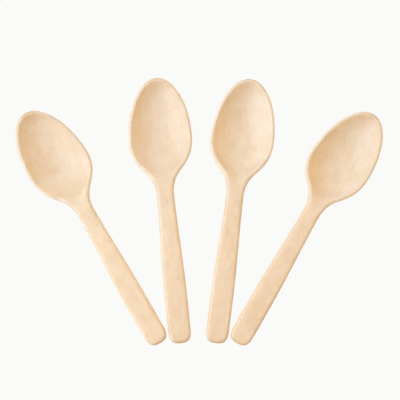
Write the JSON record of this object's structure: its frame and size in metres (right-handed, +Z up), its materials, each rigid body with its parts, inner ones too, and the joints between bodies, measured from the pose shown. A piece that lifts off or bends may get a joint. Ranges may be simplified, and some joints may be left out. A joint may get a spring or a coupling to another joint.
{
  "type": "wooden cutlery pack",
  "caption": "Pressed wooden spoons laid out as a fan, each with a shallow egg-shaped bowl and a flat handle with rounded corners, for eating one meal.",
  "frame": {"origin": "centre of the fan's bounding box, on the table that the spoons lie on", "axes": "+X across the fan to the right, +Y from the handles towards the bowls, +Z up from the table"},
  "size_m": [0.1924, 0.1406, 0.0108],
  "materials": {
    "outer_left_wood": "smooth satin pale wood",
    "inner_left_wood": "smooth satin pale wood",
    "inner_right_wood": "smooth satin pale wood",
    "outer_right_wood": "smooth satin pale wood"
  },
  "bodies": {
    "root": {"spoon_outer_left": "outer_left_wood", "spoon_inner_left": "inner_left_wood", "spoon_inner_right": "inner_right_wood", "spoon_outer_right": "outer_right_wood"}
  },
  "joints": []
}
